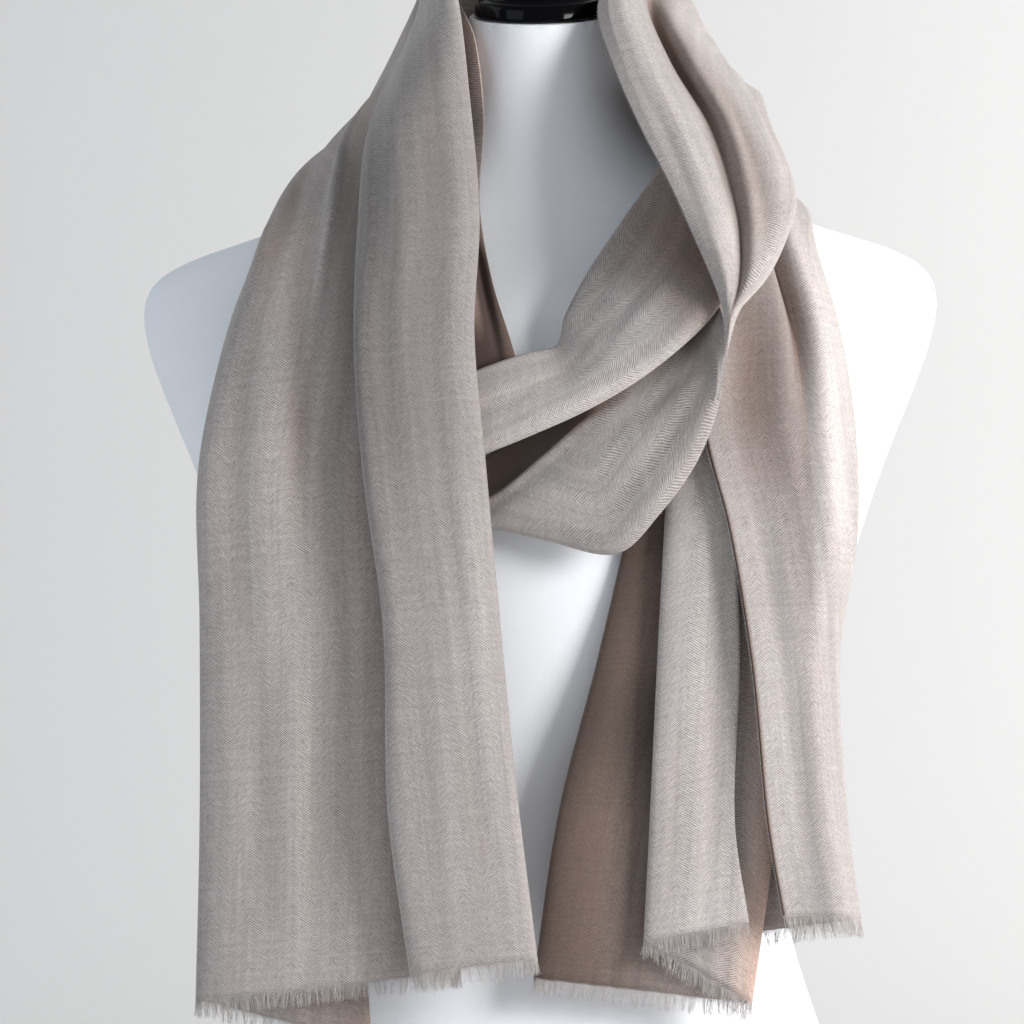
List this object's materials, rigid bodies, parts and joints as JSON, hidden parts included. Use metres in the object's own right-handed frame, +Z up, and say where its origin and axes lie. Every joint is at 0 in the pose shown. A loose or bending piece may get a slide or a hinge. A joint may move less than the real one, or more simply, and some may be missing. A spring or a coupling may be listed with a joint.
{
  "type": "pashmina shawl on dress form",
  "caption": "Fine herringbone pashmina shawl with fringed ends, wound once round the neck of a limbless white dress form with a black cap, both ends hanging down the front",
  "frame": {"origin": "centre of the flat base of the dress form", "axes": "+Z up, the front of the form faces -Y, +X is to the right of a viewer who faces the front"},
  "size_m": [0.398, 0.2486, 0.7647],
  "materials": {
    "pashmina": "fine matt wool twill",
    "fringe": "loose matt yarn",
    "form_cover": "smooth matt jersey",
    "neck_cap": "polished"
  },
  "bodies": {
    "root": {"right_tail": "pashmina", "right_tail_fringe": "fringe", "nape_wrap_inner": "pashmina", "left_inner_wrap": "pashmina", "chest_loop_upper": "pashmina", "chest_loop_lower": "pashmina", "shoulder_lapel": "pashmina", "nape_wrap_outer": "pashmina", "left_tail": "pashmina", "left_tail_fringe": "fringe", "form_torso": "form_cover", "neck_cap": "neck_cap"}
  },
  "joints": []
}
